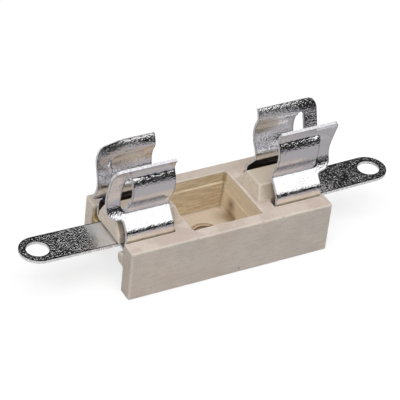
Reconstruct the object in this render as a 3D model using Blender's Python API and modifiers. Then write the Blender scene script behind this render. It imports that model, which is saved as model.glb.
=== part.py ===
"""Open ceramic fuse holder for a 10.3 x 38 mm cartridge fuse.

A pressed ceramic base carries one folded sheet-metal clip at each end. Each clip is a single
strip of spring sheet: a plate under the ceramic tongue, two leaves that grip the fuse cap, and
a flat terminal tab that leaves the base at its end.

Metres, +Z up. +X runs along the fuse. The origin is the middle of the underside.
"""
import math

import bmesh
import bpy
from mathutils import Matrix, Vector

MM = 0.001

# Fits
SHEET_CLEARANCE = 0.3 * MM      # clip sheet to the ceramic above and below it
SLOT_CLEARANCE = 0.4 * MM       # clip leaf to the ends and outer sides of its slots
CUT_THROUGH = 2.0 * MM          # how far a cutter runs past the face that it opens
MERGE_DISTANCE = 0.001 * MM

# Ceramic base
BASE_LENGTH = 45.0 * MM
BASE_WIDTH = 20.6 * MM
BASE_HEIGHT = 11.3 * MM
EDGE_ROUND = 0.25 * MM
CORNER_ROUND = 0.5 * MM         # upright corners of the block

# Recess for the fixing screw, in the middle of the base
RECESS_LENGTH = 15.6 * MM
RECESS_WIDTH = 15.2 * MM
SIDE_STEP_DEPTH = 2.2 * MM      # below the rim, along the long sides
SIDE_STEP_WIDTH = 0.6 * MM
END_STEP_DEPTH = 3.9 * MM       # below the rim, at both ends
END_STEP_WIDTH = 0.75 * MM
STEP_SLOPE = 1.2                # height of a step's slope for its width
RECESS_FLOOR = 3.0 * MM         # thickness of the floor under the recess
RECESS_CORNER = 0.35 * MM
SCREW_HOLE = 5.2 * MM
COUNTERSINK = 6.4 * MM
COUNTERSINK_DEPTH = 0.6 * MM

# Tongue that stands up between the leaves of each clip
TONGUE_WIDTH = 8.9 * MM
TONGUE_INNER_FOOT = 8.45 * MM   # from the middle of the base
TONGUE_INNER_SLOPE = 1.0 * MM   # how far the inner end leans
TONGUE_BROW = 0.25 * MM         # upright side above the rim
TONGUE_RISE = 3.0 * MM          # ridge above the rim
RIDGE_WIDTH = 5.35 * MM

# Ledges under the clip plate
LEDGE_HEIGHT = 2.6 * MM
LEDGE_GAP = 8.8 * MM            # open width between the two ledges of one end

# Clip sheet
SHEET = 0.6 * MM
PLATE_TOP = 9.3 * MM            # height of the plate above the underside
LEAF_SPREAD = 12.7 * MM         # over the outer faces of the two leaves where they leave the slots
CLIP_INNER_END = 11.55 * MM     # from the middle of the base
FOOT_LENGTH = 10.25 * MM        # leaf length along the fuse, in the slot
GRIP_LENGTH = 9.05 * MM         # leaf length that is formed round the fuse cap
WINDOW_LENGTH = 1.25 * MM
STOP_LENGTH = 3.0 * MM          # end stop beyond the window

# Bends of the leaf: radius at the middle of the sheet, turn in degrees and straight run after it
FOLD_RADIUS = 1.0 * MM
FOLD_TURN = 90.0
RISER_RUN = 2.45 * MM
SHOULDER_RADIUS = 1.2 * MM
SHOULDER_TURN = 41.0
SHOULDER_RUN = 3.7 * MM
WAIST_RADIUS = 1.3 * MM
WAIST_TURN = -87.0
GRIP_RADIUS = 5.3 * MM
GRIP_TURN = 83.0
NECK_RADIUS = 0.9 * MM
NECK_TURN = -55.0
LIP_RUN = 1.8 * MM

# End stop: a slower curve from the shoulder to the lip that stands further in than the grip
STOP_SETBACK = 1.6 * MM         # shoulder that the end stop gives up, measured back from the waist
STOP_SET_IN = 0.8 * MM          # how much further in its lip ends
STOP_FOOT_PULL = 16.6 * MM      # how stiffly it keeps the shoulder's direction
STOP_LIP_PULL = 19.9 * MM       # how stiffly it keeps the lip's direction
LIP_EASE = 3.0 * MM             # grip's lip that already turns towards the end stop's
NECK_EASE = 0.5 * MM            # grip below the neck that does so

# Outline of the blank
ELBOW_SETBACK = 1.2 * MM        # shoulder that stays narrow, measured back from the waist
ELBOW_INNER_ROUND = 0.7 * MM
ELBOW_OUTER_ROUND = 2.2 * MM
LIP_CORNER_ROUND = 1.5 * MM
WINDOW_ROUND = 0.6 * MM
WINDOW_BELOW = 0.95 * MM        # window edge above the start of the waist
WINDOW_ABOVE = 0.2 * MM         # window edge below the end of the neck

# Terminal tab
TAB_WIDTH = 7.8 * MM
TAB_REACH = 41.2 * MM           # tip of the tab from the middle of the base
TAB_LIFT = 1.0                  # degrees that the tab is turned up where it leaves the base
TAB_HOLE = 4.6 * MM
TAB_HOLE_SETBACK = 3.7 * MM     # hole centre from the tip
TAB_ROOT_ROUND = 0.25 * MM

# Fineness of the curves
ARC_STEP = math.radians(9.0)
HOLE_SEGMENTS = 32
BLEND_COLUMNS = 4               # across the window
LIP_COLUMNS = 6                 # where the lip turns in
ELBOW_ROWS = 3                  # where the end stop leaves the shoulder
CORNER_SEGMENTS = 4
BEVEL_SEGMENTS = 2
BEVEL_ANGLE = math.radians(40.0)
SHARP_ANGLE = math.radians(35.0)
FLAT_ANGLE = math.radians(1.0)

# Sizes that follow from the ones above
PLATE_MIDDLE = PLATE_TOP - SHEET / 2
LEAF_OFFSET = (LEAF_SPREAD - SHEET) / 2
CHANNEL_HALF = LEAF_SPREAD / 2 + SLOT_CLEARANCE
CHANNEL_START = CLIP_INNER_END - SLOT_CLEARANCE
TONGUE_UNDERSIDE = PLATE_TOP + SHEET_CLEARANCE
LEDGE_TOP = PLATE_TOP - SHEET - SHEET_CLEARANCE
LEDGE_BOTTOM = LEDGE_TOP - LEDGE_HEIGHT
FOOT_END = CLIP_INNER_END + FOOT_LENGTH
GRIP_END = CLIP_INNER_END + GRIP_LENGTH
TAB_START = BASE_LENGTH / 2 + SHEET_CLEARANCE
STOP_START = GRIP_END + WINDOW_LENGTH
STOP_END = STOP_START + STOP_LENGTH
LIP_TURNS = GRIP_END - LIP_EASE


def clear_scene():
    """Removes whatever the scene holds."""
    for item in list(bpy.data.objects):
        bpy.data.objects.remove(item, do_unlink=True)


def new_collection(name):
    """Makes a collection in the scene."""
    collection = bpy.data.collections.new(name)
    bpy.context.scene.collection.children.link(collection)
    return collection


def new_material(name, colour, roughness, metallic):
    """Makes a plain Principled material."""
    material = bpy.data.materials.new(name)
    material.use_nodes = True
    shader = material.node_tree.nodes["Principled BSDF"]
    shader.inputs["Base Color"].default_value = (*colour, 1.0)
    shader.inputs["Roughness"].default_value = roughness
    shader.inputs["Metallic"].default_value = metallic
    material.diffuse_color = (*colour, 1.0)
    return material


def object_from_bmesh(name, mesh_builder, collection):
    """Turns a bmesh into an object with outward faces."""
    bmesh.ops.recalc_face_normals(mesh_builder, faces=mesh_builder.faces)
    mesh = bpy.data.meshes.new(name)
    mesh_builder.to_mesh(mesh)
    mesh_builder.free()
    item = bpy.data.objects.new(name, mesh)
    collection.objects.link(item)
    return item


def mark_as_cutter(item):
    """Keeps a cutter out of renders and shows it as wire."""
    item.hide_render = True
    item.display_type = "WIRE"
    return item


def box(low, high):
    """Box between two corners, as a bmesh."""
    size = Vector(high) - Vector(low)
    middle = (Vector(high) + Vector(low)) / 2
    builder = bmesh.new()
    matrix = Matrix.Translation(middle) @ Matrix.Diagonal((*size, 1.0))
    bmesh.ops.create_cube(builder, size=1.0, matrix=matrix)
    return builder


def upright_edges(builder):
    """Edges of a bmesh that run along Z."""
    return [edge for edge in builder.edges
            if abs(edge.verts[0].co.z - edge.verts[1].co.z) > MERGE_DISTANCE
            and (edge.verts[0].co.xy - edge.verts[1].co.xy).length < MERGE_DISTANCE]


def rounded_box(low, high, radius):
    """Box whose upright edges are rounded."""
    builder = box(low, high)
    bmesh.ops.bevel(builder, geom=upright_edges(builder), offset=radius, offset_type="OFFSET",
                    segments=CORNER_SEGMENTS, profile=0.5, affect="EDGES")
    return builder


def prism_along_x(outline, start, end):
    """Solid whose outline of (y, z) points runs from start to end along X."""
    builder = bmesh.new()
    face = builder.faces.new([builder.verts.new((start, y, z)) for y, z in outline])
    grown = bmesh.ops.extrude_face_region(builder, geom=[face])
    moved = [part for part in grown["geom"] if isinstance(part, bmesh.types.BMVert)]
    bmesh.ops.translate(builder, verts=moved, vec=(end - start, 0.0, 0.0))
    return builder


def turn_end_for_end(builder, side):
    """Turns a shape made for the +X end round to the -X end when side is -1."""
    if side < 0:
        bmesh.ops.rotate(builder, verts=builder.verts, cent=(0.0, 0.0, 0.0),
                         matrix=Matrix.Rotation(math.pi, 3, "Z"))
    return builder


def round_corners(corners):
    """Points of an outline whose corners are (a, b, radius), rounded by arcs."""
    points = []
    count = len(corners)
    for index, (a, b, radius) in enumerate(corners):
        here = Vector((a, b))
        if radius <= 0.0:
            points.append(here)
            continue
        back = (Vector(corners[index - 1][:2]) - here).normalized()
        ahead = (Vector(corners[(index + 1) % count][:2]) - here).normalized()
        half_angle = back.angle(ahead) / 2
        centre = here + (back + ahead).normalized() * (radius / math.sin(half_angle))
        first = here + back * (radius / math.tan(half_angle)) - centre
        turn = math.pi - 2 * half_angle
        if first.cross(here - centre) < 0.0:
            turn = -turn
        steps = max(2, math.ceil(abs(turn) / ARC_STEP))
        for step in range(steps + 1):
            points.append(centre + Matrix.Rotation(turn * step / steps, 2) @ first)
    return points


def both_sides(half_outline):
    """Closes a half outline, given for positive y from bottom to top, by its mirror image."""
    mirrored = [(-y, z) for y, z in reversed(half_outline)]
    return list(half_outline) + mirrored


def tongue_body():
    """Tongue of one end, which leans in at its sides and at its inner end."""
    brow = BASE_HEIGHT + TONGUE_BROW
    ridge = BASE_HEIGHT + TONGUE_RISE
    half = [(TONGUE_WIDTH / 2, TONGUE_UNDERSIDE), (TONGUE_WIDTH / 2, brow), (RIDGE_WIDTH / 2, ridge)]
    start = TONGUE_INNER_FOOT - TONGUE_INNER_SLOPE
    builder = prism_along_x(both_sides(half), start, BASE_LENGTH / 2)
    geometry = list(builder.verts) + list(builder.edges) + list(builder.faces)
    cut = bmesh.ops.bisect_plane(builder, geom=geometry, dist=MERGE_DISTANCE,
                                 plane_co=(TONGUE_INNER_FOOT, 0.0, BASE_HEIGHT),
                                 plane_no=(TONGUE_RISE, 0.0, -TONGUE_INNER_SLOPE),
                                 clear_inner=True)
    rim = [part for part in cut["geom_cut"] if isinstance(part, bmesh.types.BMEdge)]
    bmesh.ops.edgenet_fill(builder, edges=rim)
    return builder


def clip_channel():
    """Cutter for one end: the space for the clip and the tongue, between the ledges that stay."""
    top = BASE_HEIGHT + CUT_THROUGH
    nose = LEDGE_HEIGHT / 2 - EDGE_ROUND
    half = [(0.0, -CUT_THROUGH, 0.0),
            (CHANNEL_HALF, -CUT_THROUGH, 0.0),
            (CHANNEL_HALF, LEDGE_BOTTOM, 0.0),
            (LEDGE_GAP / 2, LEDGE_BOTTOM, nose),
            (LEDGE_GAP / 2, LEDGE_TOP, nose),
            (CHANNEL_HALF, LEDGE_TOP, 0.0),
            (CHANNEL_HALF, top, 0.0),
            (0.0, top, 0.0)]
    points = [(p.x, p.y) for p in round_corners(half) if p.x > MERGE_DISTANCE]
    return prism_along_x(both_sides(points), CHANNEL_START, BASE_LENGTH / 2 + CUT_THROUGH)


def recess_sections():
    """Half lengths, half widths and heights of the recess, from the rim down to the floor."""
    half_length = RECESS_LENGTH / 2
    half_width = RECESS_WIDTH / 2
    side_step = BASE_HEIGHT - SIDE_STEP_DEPTH
    end_step = BASE_HEIGHT - END_STEP_DEPTH
    low_width = half_width - SIDE_STEP_WIDTH
    low_length = half_length - END_STEP_WIDTH
    return [(half_length, half_width, BASE_HEIGHT + CUT_THROUGH),
            (half_length, half_width, side_step),
            (half_length, low_width, side_step - STEP_SLOPE * SIDE_STEP_WIDTH),
            (half_length, low_width, end_step),
            (low_length, low_width, end_step - STEP_SLOPE * END_STEP_WIDTH),
            (low_length, low_width, RECESS_FLOOR)]


def recess_pocket():
    """Cutter of the stepped recess: rounded rectangles joined one below the other."""
    builder = bmesh.new()
    rings = []
    for x, y, z in recess_sections():
        corners = [(x, y, RECESS_CORNER), (-x, y, RECESS_CORNER),
                   (-x, -y, RECESS_CORNER), (x, -y, RECESS_CORNER)]
        rings.append([builder.verts.new((p.x, p.y, z)) for p in round_corners(corners)])
    for upper, lower in zip(rings, rings[1:]):
        for index in range(len(upper)):
            after = (index + 1) % len(upper)
            builder.faces.new((upper[index], upper[after], lower[after], lower[index]))
    builder.faces.new(rings[0])
    builder.faces.new(rings[-1])
    return builder


def screw_hole():
    """Cutter of the countersunk hole through the recess floor, as a turned profile."""
    profile = [(0.0, RECESS_FLOOR + CUT_THROUGH),
               (COUNTERSINK / 2, RECESS_FLOOR + CUT_THROUGH),
               (COUNTERSINK / 2, RECESS_FLOOR),
               (SCREW_HOLE / 2, RECESS_FLOOR - COUNTERSINK_DEPTH),
               (SCREW_HOLE / 2, -CUT_THROUGH),
               (0.0, -CUT_THROUGH)]
    builder = bmesh.new()
    verts = [builder.verts.new((x, 0.0, z)) for x, z in profile]
    for first, second in zip(verts, verts[1:]):
        builder.edges.new((first, second))
    return builder


def add_screw_modifier(item):
    """Turns a profile round Z into a closed solid."""
    screw = item.modifiers.new("Turn", "SCREW")
    screw.steps = HOLE_SEGMENTS
    screw.render_steps = HOLE_SEGMENTS
    screw.use_merge_vertices = True
    screw.merge_threshold = MERGE_DISTANCE
    return item


def add_boolean(item, other, operation):
    """Joins or cuts one object by another."""
    modifier = item.modifiers.new(f"{operation.title()} {other.name}", "BOOLEAN")
    modifier.object = other
    modifier.operation = operation
    modifier.solver = "EXACT"


def build_ceramic_base(parts, cutters, material):
    """Pressed ceramic block with recess, tongues, slots and ledges."""
    low = (-BASE_LENGTH / 2, -BASE_WIDTH / 2, 0.0)
    high = (BASE_LENGTH / 2, BASE_WIDTH / 2, BASE_HEIGHT)
    base = object_from_bmesh("ceramic_base", rounded_box(low, high, CORNER_ROUND), parts)
    base.data.materials.append(material)
    for side, end in ((-1, "left"), (1, "right")):
        channel = turn_end_for_end(clip_channel(), side)
        helper = mark_as_cutter(object_from_bmesh(f"channel_{end}", channel, cutters))
        add_boolean(base, helper, "DIFFERENCE")
    for side, end in ((-1, "left"), (1, "right")):
        tongue = turn_end_for_end(tongue_body(), side)
        helper = mark_as_cutter(object_from_bmesh(f"tongue_{end}", tongue, cutters))
        add_boolean(base, helper, "UNION")
    recess = mark_as_cutter(object_from_bmesh("recess", recess_pocket(), cutters))
    add_boolean(base, recess, "DIFFERENCE")
    hole = mark_as_cutter(object_from_bmesh("screw_hole", screw_hole(), cutters))
    add_screw_modifier(hole)
    add_boolean(base, hole, "DIFFERENCE")
    bevel = base.modifiers.new("Soft edges", "BEVEL")
    bevel.width = EDGE_ROUND
    bevel.segments = BEVEL_SEGMENTS
    bevel.limit_method = "ANGLE"
    bevel.angle_limit = BEVEL_ANGLE
    return base


def leaf_segments():
    """Leaf path as (name, length, radius, turn) pieces, from the middle of the plate to the lip."""
    return [("plate", LEAF_OFFSET - FOLD_RADIUS, 0.0, 0.0),
            bend("fold", FOLD_RADIUS, FOLD_TURN),
            ("riser", RISER_RUN, 0.0, 0.0),
            bend("shoulder", SHOULDER_RADIUS, SHOULDER_TURN),
            ("slope", SHOULDER_RUN, 0.0, 0.0),
            bend("waist", WAIST_RADIUS, WAIST_TURN),
            bend("grip", GRIP_RADIUS, GRIP_TURN),
            bend("neck", NECK_RADIUS, NECK_TURN),
            ("lip", LIP_RUN, 0.0, 0.0)]


def bend(name, radius, turn_degrees):
    """A bend as (name, length, radius, turn in radians)."""
    turn = math.radians(turn_degrees)
    return (name, radius * abs(turn), radius, turn)


def follow(segments, distance):
    """Point and heading on the leaf path at a distance from its start."""
    point = Vector((0.0, PLATE_MIDDLE))
    heading = 0.0
    for name, length, radius, turn in segments:
        run = distance if name == "lip" else min(distance, length)
        if turn:
            side = math.copysign(1.0, turn)
            normal = Vector((-math.sin(heading), math.cos(heading))) * side
            centre = point + normal * radius
            heading += turn * run / length
            normal = Vector((-math.sin(heading), math.cos(heading))) * side
            point = centre - normal * radius
        else:
            point = point + Vector((math.cos(heading), math.sin(heading))) * run
        distance -= run
        if distance <= 0.0:
            break
    return point, heading


def run_to(segments, stop):
    """Length of the leaf path up to the piece of that name."""
    run = 0.0
    for name, length, _, _ in segments:
        if name == stop:
            break
        run += length
    return run


def bend_rows(segments):
    """Distances along the leaf at which the sheet is creased to follow its bends."""
    rows = []
    start = 0.0
    for _, length, _, turn in segments:
        steps = max(1, math.ceil(abs(turn) / ARC_STEP))
        rows += [start + length * step / steps for step in range(1, steps + 1)]
        start += length
    return rows[:-1]


def blank_outline(segments):
    """Half of the flat blank as an outline of (x, distance along the leaf) points."""
    elbow = run_to(segments, "waist") - ELBOW_SETBACK
    top = run_to(segments, "lip") + LIP_RUN
    half_tab = TAB_WIDTH / 2
    corners = [(TAB_REACH, half_tab, half_tab - MERGE_DISTANCE),
               (FOOT_END, half_tab, TAB_ROOT_ROUND),
               (FOOT_END, elbow, ELBOW_INNER_ROUND),
               (STOP_END, elbow, ELBOW_OUTER_ROUND),
               (STOP_END, top, LIP_CORNER_ROUND),
               (CLIP_INNER_END, top, 0.0),
               (CLIP_INNER_END, 0.0, 0.0)]
    hole_x = TAB_REACH - TAB_HOLE_SETBACK
    notch = []
    for step in range(HOLE_SEGMENTS // 2 + 1):
        angle = math.pi * (1 - 2 * step / HOLE_SEGMENTS)
        notch.append(Vector((hole_x + math.cos(angle) * TAB_HOLE / 2,
                             math.sin(angle) * TAB_HOLE / 2)))
    notch[0].y = 0.0
    notch[-1].y = 0.0
    rounded = round_corners([(TAB_REACH, 0.0, 0.0)] + corners)
    return rounded + notch


def window_outline(segments):
    """Window that parts the end stop from the gripping part of the leaf."""
    low = run_to(segments, "waist") + WINDOW_BELOW
    high = run_to(segments, "lip") - WINDOW_ABOVE
    return round_corners([(GRIP_END, low, WINDOW_ROUND), (STOP_START, low, WINDOW_ROUND),
                          (STOP_START, high, WINDOW_ROUND), (GRIP_END, high, WINDOW_ROUND)])


def flat_blank(segments, scratch):
    """Fills the outlines of the blank and returns the flat sheet as a bmesh."""
    curve = bpy.data.curves.new("blank", "CURVE")
    curve.dimensions = "2D"
    curve.fill_mode = "BOTH"
    for outline in (blank_outline(segments), window_outline(segments)):
        spline = curve.splines.new("POLY")
        spline.points.add(len(outline) - 1)
        for point, place in zip(spline.points, outline):
            point.co = (place.x, place.y, 0.0, 1.0)
        spline.use_cyclic_u = True
    item = bpy.data.objects.new("blank", curve)
    scratch.objects.link(item)
    bpy.context.view_layer.update()
    evaluated = item.evaluated_get(bpy.context.evaluated_depsgraph_get())
    mesh = bpy.data.meshes.new_from_object(evaluated)
    builder = bmesh.new()
    builder.from_mesh(mesh)
    bpy.data.objects.remove(item, do_unlink=True)
    bpy.data.curves.remove(curve)
    bpy.data.meshes.remove(mesh)
    bmesh.ops.remove_doubles(builder, verts=builder.verts, dist=MERGE_DISTANCE)
    inner = [edge for edge in builder.edges if len(edge.link_faces) == 2]
    bmesh.ops.dissolve_limit(builder, angle_limit=FLAT_ANGLE, use_dissolve_boundaries=False,
                             edges=inner, verts=[])
    return builder


def crease(builder, point, normal):
    """Cuts the flat sheet along a line so that it can bend there."""
    geometry = list(builder.verts) + list(builder.edges) + list(builder.faces)
    bmesh.ops.bisect_plane(builder, geom=geometry, dist=MERGE_DISTANCE, plane_co=point,
                           plane_no=normal)


def ease(value, start, end):
    """Smooth step from 0 at the start to 1 at the end."""
    share = min(1.0, max(0.0, (value - start) / (end - start)))
    return share * share * (3 - 2 * share)


def end_stop_start(segments):
    """Distance along the leaf at which the end stop leaves the shoulder."""
    return run_to(segments, "waist") - STOP_SETBACK


def end_stop_point(segments, distance):
    """Point of the end stop, which runs from the shoulder to its lip without the grip's bulge."""
    start = end_stop_start(segments)
    end = run_to(segments, "lip") + LIP_RUN
    if distance <= start:
        return follow(segments, distance)[0]
    first, first_heading = follow(segments, start)
    last, last_heading = follow(segments, end)
    last = last - Vector((STOP_SET_IN, 0.0))
    leave = Vector((math.cos(first_heading), math.sin(first_heading))) * STOP_FOOT_PULL
    arrive = Vector((math.cos(last_heading), math.sin(last_heading))) * STOP_LIP_PULL
    t = (distance - start) / (end - start)
    return (first * (2 * t ** 3 - 3 * t ** 2 + 1) + leave * (t ** 3 - 2 * t ** 2 + t)
            + last * (3 * t ** 2 - 2 * t ** 3) + arrive * (t ** 3 - t ** 2))


def end_stop_share(segments, x, distance):
    """How far a point follows the end stop: a quick change at the window, a slow one in the lip."""
    beside_window = ease(x, GRIP_END, STOP_START)
    in_lip = ease(x, LIP_TURNS, STOP_END)
    lip = ease(distance, run_to(segments, "neck") - NECK_EASE, run_to(segments, "lip"))
    return beside_window + (in_lip - beside_window) * lip


def folded(segments, x, distance):
    """Place of one point of the flat blank once the sheet is folded."""
    place = follow(segments, distance)[0]
    share = end_stop_share(segments, x, distance)
    if share > 0.0:
        place = place.lerp(end_stop_point(segments, distance), share)
    rise = 0.0
    if distance < TAB_WIDTH / 2 + MERGE_DISTANCE:
        rise = max(0.0, x - TAB_START) * math.tan(math.radians(TAB_LIFT))
    return Vector((x, place.x, place.y + rise))


def clip_mesh(scratch):
    """Half of the clip's middle surface, folded from its flat blank."""
    segments = leaf_segments()
    builder = flat_blank(segments, scratch)
    elbow_rows = [end_stop_start(segments) + STOP_SETBACK * step / ELBOW_ROWS
                  for step in range(ELBOW_ROWS)]
    for row in bend_rows(segments) + elbow_rows:
        crease(builder, (0.0, row, 0.0), (0.0, 1.0, 0.0))
    window_columns = [GRIP_END + WINDOW_LENGTH * step / BLEND_COLUMNS
                      for step in range(BLEND_COLUMNS + 1)]
    lip_columns = [LIP_TURNS + (STOP_END - LIP_TURNS) * step / LIP_COLUMNS
                   for step in range(LIP_COLUMNS)]
    for column in window_columns + lip_columns + [TAB_START]:
        crease(builder, (column, 0.0, 0.0), (1.0, 0.0, 0.0))
    for vertex in builder.verts:
        vertex.co = folded(segments, vertex.co.x, vertex.co.y)
        if abs(vertex.co.y) < MERGE_DISTANCE:
            vertex.co.y = 0.0
    bmesh.ops.triangulate(builder, faces=builder.faces)
    bmesh.ops.recalc_face_normals(builder, faces=builder.faces)
    mesh = bpy.data.meshes.new("fuse_clip")
    builder.to_mesh(mesh)
    builder.free()
    mesh.shade_smooth()
    mesh.set_sharp_from_angle(angle=SHARP_ANGLE)
    return mesh


def build_clip(name, mesh, side, parts):
    """One clip: the folded half, mirrored and given the thickness of the sheet."""
    clip = bpy.data.objects.new(name, mesh)
    parts.objects.link(clip)
    if side < 0:
        clip.rotation_euler.z = math.pi
    mirror = clip.modifiers.new("Both leaves", "MIRROR")
    mirror.use_axis = (False, True, False)
    mirror.use_clip = True
    mirror.merge_threshold = MERGE_DISTANCE
    sheet = clip.modifiers.new("Sheet", "SOLIDIFY")
    sheet.thickness = SHEET
    sheet.offset = 0.0
    sheet.use_even_offset = True
    return clip


def main():
    """Builds the holder."""
    clear_scene()
    parts = new_collection("Ceramic fuse holder")
    cutters = new_collection("Cutters")
    ceramic = new_material("Unglazed ceramic", (0.60, 0.50, 0.42), 0.65, 0.0)
    plated = new_material("Plated spring sheet", (0.62, 0.61, 0.60), 0.3, 1.0)
    build_ceramic_base(parts, cutters, ceramic)
    mesh = clip_mesh(cutters)
    mesh.materials.append(plated)
    build_clip("fuse_clip_left", mesh, -1, parts)
    build_clip("fuse_clip_right", mesh, 1, parts)


main()
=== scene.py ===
"""Looks of the open ceramic fuse holder: unglazed ceramic, bright plated clips, studio and camera."""
import math
from types import SimpleNamespace

import bmesh
import bpy
from mathutils import Matrix, Vector, noise


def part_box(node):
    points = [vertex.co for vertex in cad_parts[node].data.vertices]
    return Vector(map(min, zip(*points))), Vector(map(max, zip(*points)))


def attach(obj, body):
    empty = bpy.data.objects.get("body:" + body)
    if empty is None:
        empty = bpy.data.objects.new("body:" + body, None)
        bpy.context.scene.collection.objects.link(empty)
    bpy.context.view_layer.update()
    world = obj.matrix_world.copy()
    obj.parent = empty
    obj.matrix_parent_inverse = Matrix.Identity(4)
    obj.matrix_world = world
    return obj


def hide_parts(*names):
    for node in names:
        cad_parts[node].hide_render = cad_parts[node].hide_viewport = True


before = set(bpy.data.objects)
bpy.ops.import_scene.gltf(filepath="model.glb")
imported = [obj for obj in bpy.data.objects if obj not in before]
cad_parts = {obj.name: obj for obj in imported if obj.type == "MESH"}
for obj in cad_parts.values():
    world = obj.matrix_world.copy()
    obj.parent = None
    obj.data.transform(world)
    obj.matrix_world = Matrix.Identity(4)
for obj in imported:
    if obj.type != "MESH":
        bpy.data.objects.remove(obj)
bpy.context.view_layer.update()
bpy.context.scene.view_settings.view_transform = "Standard"

MM = 0.001

# Camera, fitted to the photograph
CAMERA_PLACE = Vector((-180.27, -282.40, 254.79)) * MM
CAMERA_AZIMUTH = math.radians(-32.21)       # round the object, from the front
CAMERA_ELEVATION = math.radians(36.047)
CAMERA_ROLL = math.radians(6.657)
CAMERA_LENS = 188.08                        # mm

# Ceramic base, as in the construction
BASE_TOP = 11.3 * MM
BASE_FRONT = -10.3 * MM
FLOOR_TOP = 3.0 * MM

# Clip sheet: the flat blank of the construction, with the bends of the one photographed
SHEET = 0.6 * MM
PLATE_TOP = 9.3 * MM
LEAF_SPREAD = 12.7 * MM
CLIP_INNER_END = 11.55 * MM
FOOT_LENGTH = 10.25 * MM
GRIP_LENGTH = 9.05 * MM
WINDOW_LENGTH = 1.25 * MM
STOP_LENGTH = 3.0 * MM
FOLD_RADIUS = 1.0 * MM
FOLD_TURN = 90.0
RISER_RUN = 1.93 * MM
SHOULDER_RADIUS = 2.6 * MM
SHOULDER_TURN = 41.0
SHOULDER_RUN = 2.93 * MM
CREASE_RADIUS = 0.6 * MM
CREASE_TURN = -30.0
WAIST_RADIUS = 2.78 * MM
WAIST_TURN = -49.06
GRIP_RADIUS = 5.3 * MM
GRIP_TURN = 69.0
NECK_RADIUS = 1.6 * MM
NECK_TURN = -43.9
LIP_RUN = 1.76 * MM
LIP_CURL = 0.45                 # how far the lip's end leans out more than its start
STOP_SETBACK = 1.35 * MM        # slope that the end stop gives up, back from the crease
STOP_FOOT_PULL = 16.6 * MM      # how stiffly it keeps the shoulder's direction
STOP_LIP_PULL = 19.9 * MM       # how stiffly it keeps the lip's direction
LIP_EASE = 3.0 * MM             # grip's lip that already turns towards the end stop's
NECK_EASE = 0.5 * MM            # grip below the neck that does so
ELBOW_SETBACK = 0.95 * MM       # slope below the crease where the sheet widens
ELBOW_INNER_ROUND = 0.7 * MM
ELBOW_OUTER_ROUND = 2.2 * MM
WINDOW_ROUND = 0.6 * MM
WINDOW_BELOW = 1.2 * MM         # window's lower edge above the start of the crease
TAB_WIDTH = 7.8 * MM
TAB_START = 22.8 * MM
TAB_REACH = 41.2 * MM
TAB_LIFT = 1.0                  # degrees that the tab is turned up beyond the base
TAB_HOLE = 4.6 * MM
TAB_HOLE_SETBACK = 3.7 * MM     # hole centre from the tip
TAB_ROOT_ROUND = 0.25 * MM
BURR_ROUND = 0.13 * MM          # soft edge of the sheared sheet

# Each leaf as it is: how far its end stop's lip and middle stand in, its lip's corner radius, and
# how far its window ends below the neck
LEAVES = {"front_left": (0.0, 0.0, 1.7 * MM, 0.2 * MM),
          "back_left": (1.2 * MM, 0.5 * MM, 2.0 * MM, 2.1 * MM),
          "front_right": (0.0, 0.0, 1.1 * MM, 1.9 * MM),
          "back_right": (0.0, 0.0, 1.6 * MM, 0.2 * MM)}

# Colours, as light that the surface returns
OUTSIDE_PINK = (0.57, 0.485, 0.425, 1.0)
OUTSIDE_GREY = (0.545, 0.495, 0.445, 1.0)
OUTSIDE_LIGHT = (0.64, 0.575, 0.51, 1.0)
RIM_DARK = (0.58, 0.48, 0.42, 1.0)
RIM_LIGHT = (0.68, 0.585, 0.52, 1.0)
END_LIGHT = (0.84, 0.74, 0.63, 1.0)
# painted shade along the back of the top faces
RIM_BACK_SHADE = (0.52, 0.445, 0.38, 1.0)
TONGUE_TOP = (0.55, 0.475, 0.385, 1.0)
TONGUE_SIDE = (0.78, 0.68, 0.57, 1.0)
TONGUE_OUTER = (0.93, 0.81, 0.69, 1.0)
TONGUE_SHADED = (0.30, 0.22, 0.13, 1.0)
RECESS_DARK = (0.60, 0.47, 0.30, 1.0)
RECESS_LIGHT = (0.80, 0.67, 0.48, 1.0)
RECESS_LIT = (0.94, 0.81, 0.62, 1.0)
RECESS_LINE = (0.36, 0.27, 0.14, 1.0)
FLOOR_COLOUR = (0.62, 0.52, 0.41, 1.0)
HOLE_COLOUR = (0.36, 0.24, 0.14, 1.0)
# painted shade in the slots beside the leaves, paler brown at their back ends
SLOT_SHADE_COLOUR = (0.14, 0.085, 0.04, 1.0)
SLOT_END_SHADE_COLOUR = (0.38, 0.24, 0.07, 1.0)
STAIN_COLOUR = (0.22, 0.14, 0.06, 1.0)
STROKE_COLOUR = (0.38, 0.33, 0.29, 1.0)
GRAIN_COLOUR = (0.36, 0.29, 0.23, 1.0)
# wear with a painted highlight along convex edges
EDGE_WEAR_AND_HIGHLIGHT = (0.88, 0.81, 0.72, 1.0)
# painted shade in the hollows
CREVICE_SHADE = (0.26, 0.19, 0.12, 1.0)
PLATING_COOL = (0.88, 0.875, 0.90, 1.0)
PLATING_WARM = (0.91, 0.90, 0.90, 1.0)
# painted warm reflection on the risers
RISER_REFLECTION = (1.0, 0.97, 0.90, 1.0)
# painted dark reflection along the sheared edges
RIM_REFLECTION_LINE = (0.06, 0.06, 0.07, 1.0)
# painted brown reflection of the shaded ceramic inside the feet
FOOT_SHADE = (0.10, 0.05, 0.03, 1.0)
EDGE_DARK = (0.86, 0.85, 0.86, 1.0)
EDGE_ABOVE = (0.55, 0.54, 0.57, 1.0)
EDGE_LIGHT = (0.97, 0.96, 0.96, 1.0)

# Patterns of noise: scale, detail and roughness
PATCH_NOISE = (75.0, 2.0, 0.5)
CLOUD_NOISE = (230.0, 4.0, 0.6)
GRAIN_NOISE = (3000.0, 2.0, 0.5)
STREAK_NOISE = (1.0, 3.0, 0.6)
PEBBLE_NOISE = (2900.0, 1.0, 0.5)
PLATING_NOISE = (330.0, 3.0, 0.5)
EDGE_NOISE = (1.0, 2.0, 0.5)

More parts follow.
